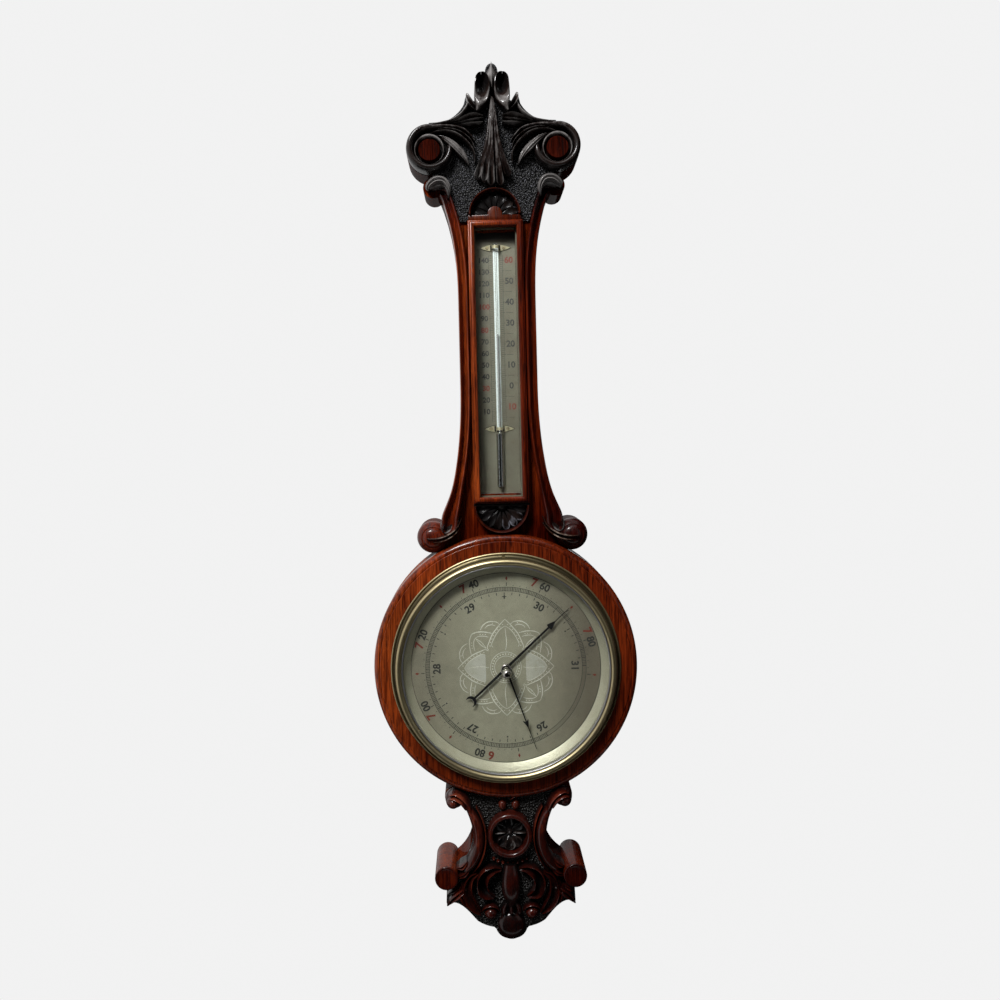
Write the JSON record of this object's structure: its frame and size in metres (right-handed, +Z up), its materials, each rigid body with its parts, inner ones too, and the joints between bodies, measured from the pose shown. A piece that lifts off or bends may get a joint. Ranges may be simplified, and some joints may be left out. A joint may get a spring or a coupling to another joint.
{
  "type": "banjo barometer",
  "caption": "Carved oak banjo wall barometer with aneroid dial, brass bezel, set hand and a boxed mercury thermometer in the trunk.",
  "frame": {"origin": "centre of the hanging hole, on the back face of the brass hanging plate", "axes": "+Z up along the case, +Y into the wall, dial facing -Y"},
  "size_m": [0.262, 0.0696, 0.8793],
  "materials": {
    "oak": "waxed red-brown oak",
    "carved_oak": "dark waxed carving",
    "gilt_brass": "dull gold lacquer",
    "plain_brass": "plain brass",
    "silvered_brass": "matt silvering",
    "blued_steel": "blacked steel",
    "steel": "plain steel",
    "nickel": "nickel silver",
    "glass": "clear",
    "mercury": "liquid metal"
  },
  "bodies": {
    "case": {"carcase": "oak", "dial_rim": "oak", "left_rail": "oak", "right_rail": "oak", "thermometer_frame": "oak", "crest_carving": "carved_oak", "crest_volutes": "carved_oak", "upper_lunette": "carved_oak", "lower_lunette": "carved_oak", "pendant_carving": "carved_oak", "side_rolls": "carved_oak", "patera_rosette": "carved_oak", "berry_beads": "carved_oak", "bezel": "gilt_brass", "bezel_screws": "gilt_brass", "tube_clips": "gilt_brass", "clip_pins": "gilt_brass", "hanging_plate": "plain_brass", "hanging_screws": "plain_brass", "movement_drum": "plain_brass", "drum_screws": "plain_brass", "base_plate": "plain_brass", "spring_bridge": "plain_brass", "rock_bearings": "plain_brass", "arbor_bridge": "plain_brass", "bridge_pillars": "plain_brass", "hairspring_stud": "plain_brass", "dial_plate": "silvered_brass", "sight_ring": "silvered_brass", "scale_plate": "silvered_brass", "pane_slip": "silvered_brass", "main_spring": "blued_steel", "hairspring": "blued_steel", "chain": "steel", "capsule": "nickel", "dial_glass": "glass", "thermometer_pane": "glass", "thermometer_tube": "glass", "bulb_mercury": "mercury"},
    "hand": {"hand_arbor": "steel", "indicating_hand": "blued_steel"},
    "set_hand": {"set_knob": "gilt_brass", "set_hand": "blued_steel", "set_washers": "plain_brass"},
    "lever": {"main_lever": "plain_brass", "lever_link": "steel"},
    "rocker": {"rock_shaft": "steel"},
    "capsule_head": {"capsule_post": "steel", "knife_pin": "steel"},
    "thread": {"mercury_thread": "mercury"},
    "adjuster": {"adjusting_screw": "steel"}
  },
  "joints": [
    {"name": "hand_turn", "type": "hinge", "parent": "case", "child": "hand", "pos_m": [0, -0.045, -0.5383], "axis": [0, 1, 0], "range_deg": [-255, 60], "deforming": ["hairspring", "chain", "capsule", "main_spring"]},
    {"name": "lever_tilt", "type": "hinge", "parent": "case", "child": "lever", "pos_m": [0, -0.0252, -0.5883], "axis": [1, 0, 0], "range_deg": [-0.29, 1.21]},
    {"name": "rocker_turn", "type": "hinge", "parent": "case", "child": "rocker", "pos_m": [0, -0.0198, -0.4823], "axis": [1, 0, 0], "range_deg": [-30.56, 7.2]},
    {"name": "capsule_breathe", "type": "slide", "parent": "case", "child": "capsule_head", "axis": [0, 1, 0], "range_m": [-0.00105, 0.00026]},
    {"name": "set_hand_turn", "type": "hinge", "parent": "case", "child": "set_hand", "pos_m": [0, -0.05, -0.5383], "axis": [0, 1, 0], "continuous": true},
    {"name": "mercury_rise", "type": "slide", "parent": "case", "child": "thread", "axis": [0, 0, 1], "range_m": [-0.026, 0.025]},
    {"name": "adjust_screw_turn", "type": "hinge", "parent": "case", "child": "adjuster", "pos_m": [0, -0.005, -0.5963], "axis": [0, 1, 0], "range_deg": [-360, 360]}
  ],
  "couplings": [
    {"joint": "lever_tilt", "follows": "hand_turn", "ratio": -0.0046977},
    {"joint": "rocker_turn", "follows": "hand_turn", "ratio": 0.11979},
    {"joint": "capsule_breathe", "follows": "hand_turn", "m_per_rad": 0.00023489}
  ]
}
